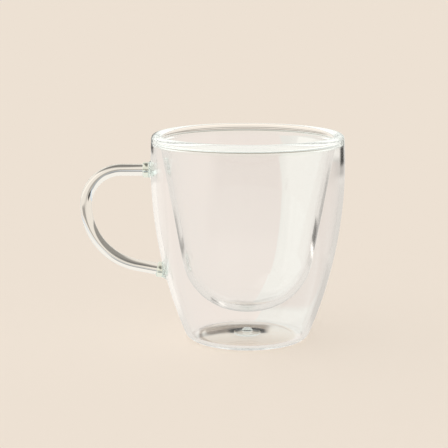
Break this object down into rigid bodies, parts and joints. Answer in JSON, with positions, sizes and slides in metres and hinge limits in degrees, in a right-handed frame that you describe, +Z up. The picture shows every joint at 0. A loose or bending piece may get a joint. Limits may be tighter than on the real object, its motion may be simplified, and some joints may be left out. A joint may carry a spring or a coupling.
{
  "type": "double walled glass cup",
  "caption": "Blown glass mug with an outer wall and a smaller inner cup fused at the rim round a sealed air layer, and a bent solid glass rod as its handle.",
  "frame": {"origin": "centre of the foot ring, on the plane that the cup stands on", "axes": "+Z up along the cup's axis, and the handle points along -X"},
  "size_m": [0.1196, 0.0874, 0.094],
  "materials": {
    "blown_glass": "clear, fire-polished",
    "rim_glass": "clear, fire-polished",
    "rod_glass": "clear, drawn and fire-polished",
    "weld_glass": "clear, melted"
  },
  "bodies": {
    "root": {"outer_shell": "blown_glass", "inner_cup": "blown_glass", "rim_bead": "rim_glass", "handle_rod": "rod_glass", "upper_handle_weld": "weld_glass", "lower_handle_weld": "weld_glass", "base_seal": "weld_glass"}
  },
  "joints": []
}
